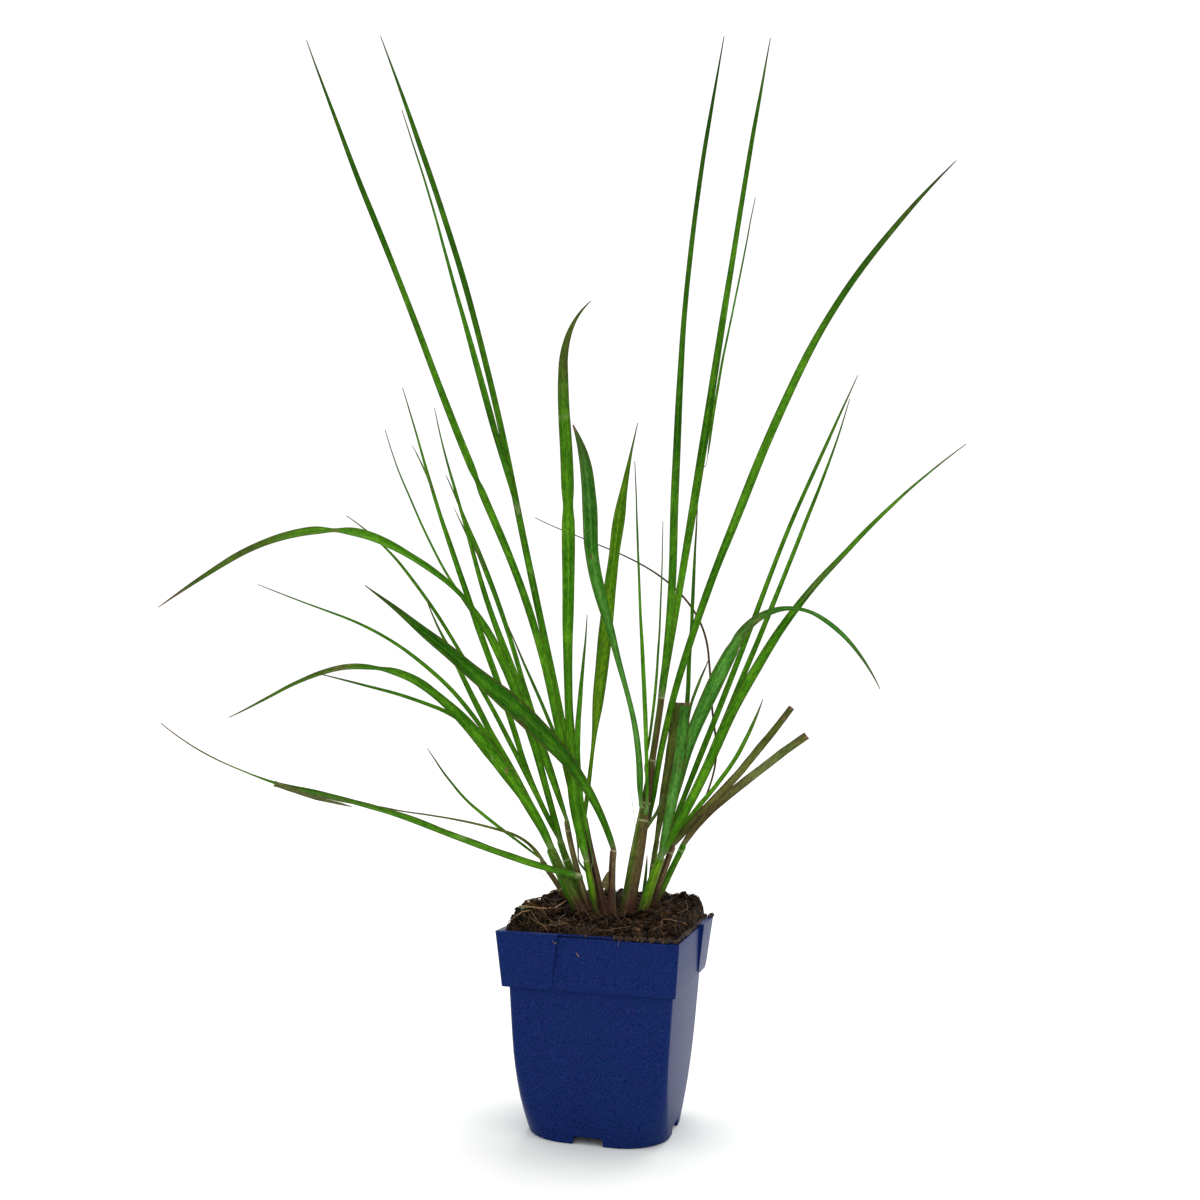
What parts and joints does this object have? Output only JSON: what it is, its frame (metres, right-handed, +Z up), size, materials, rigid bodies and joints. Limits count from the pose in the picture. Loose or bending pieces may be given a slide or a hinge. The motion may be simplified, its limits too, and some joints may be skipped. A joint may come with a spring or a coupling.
{
  "type": "potted fountain grass",
  "caption": "Clump of fountain grass with upright and arching blades, growing in a square tapered nursery pot with a deep collar.",
  "frame": {"origin": "centre of the pot's foot, on the ground", "axes": "+Z up, -Y towards the front side of the pot, +X to the right seen from the front"},
  "size_m": [0.4569, 0.3379, 0.7893],
  "materials": {
    "pot_plastic": "satin moulded plastic, dark royal blue",
    "soil": "rough, moist fibrous compost",
    "leaf_green": "soft plant surface with a slight sheen",
    "leaf_dark_green": "soft plant surface with a slight sheen",
    "leaf_yellow_green": "soft plant surface with a slight sheen",
    "leaf_olive": "soft plant surface with a slight sheen",
    "leaf_bluish_green": "soft plant surface with a slight sheen",
    "leaf_brown": "soft plant surface with a slight sheen",
    "stem_purple_brown": "soft plant surface with a slight sheen",
    "stem_tan": "soft plant surface with a slight sheen"
  },
  "bodies": {
    "root": {"pot": "pot_plastic", "soil": "soil", "stem_left_outer": "stem_tan", "stem_left_front": "leaf_green", "stem_left_back": "leaf_green", "stem_left_thin": "stem_tan", "stem_centre_green": "leaf_yellow_green", "stem_centre_brown": "stem_purple_brown", "stem_stub": "stem_purple_brown", "stem_main": "leaf_olive", "stem_right_front": "leaf_yellow_green", "stem_right_back": "leaf_olive", "stem_right_brown": "stem_purple_brown", "stem_right_outer": "leaf_green", "blade_tall_far_left": "leaf_green", "blade_tall_left": "leaf_green", "blade_tall_left_side": "leaf_dark_green", "blade_centre_broad": "leaf_green", "blade_centre_bent": "leaf_bluish_green", "blade_centre_back": "leaf_yellow_green", "blade_centre_short": "leaf_dark_green", "blade_centre_narrow": "leaf_green", "blade_centre_thin": "leaf_green", "blade_tall_right": "leaf_dark_green", "blade_tall_far_right": "leaf_green", "blade_tall_right_side": "leaf_dark_green", "blade_right_sweeping": "leaf_green", "blade_right_high": "leaf_green", "blade_right_middle": "leaf_green", "blade_right_long": "leaf_green", "blade_right_drooping": "leaf_bluish_green", "blade_cut_olive": "leaf_olive", "blade_cut_dark": "leaf_bluish_green", "blade_right_upright": "leaf_dark_green", "blade_right_sliver": "leaf_dark_green", "blade_right_short": "leaf_green", "blade_cut_upper": "leaf_olive", "blade_cut_lower": "leaf_olive", "blade_curling_thread": "leaf_brown", "blade_left_drooping": "leaf_green", "blade_left_high": "leaf_green", "blade_left_inner": "leaf_green", "blade_left_level": "leaf_green", "blade_left_bent": "leaf_dark_green", "blade_left_arched": "leaf_green", "blade_left_under": "leaf_green", "blade_left_trailing": "leaf_green", "blade_left_trailing_thin": "leaf_olive", "blade_left_short": "leaf_green", "blade_left_upright_thin": "leaf_green", "blade_left_upright": "leaf_green", "blade_left_back": "leaf_green", "blade_left_back_thin": "leaf_green", "blade_left_behind": "leaf_dark_green", "blade_young_shoot": "leaf_dark_green"}
  },
  "joints": []
}
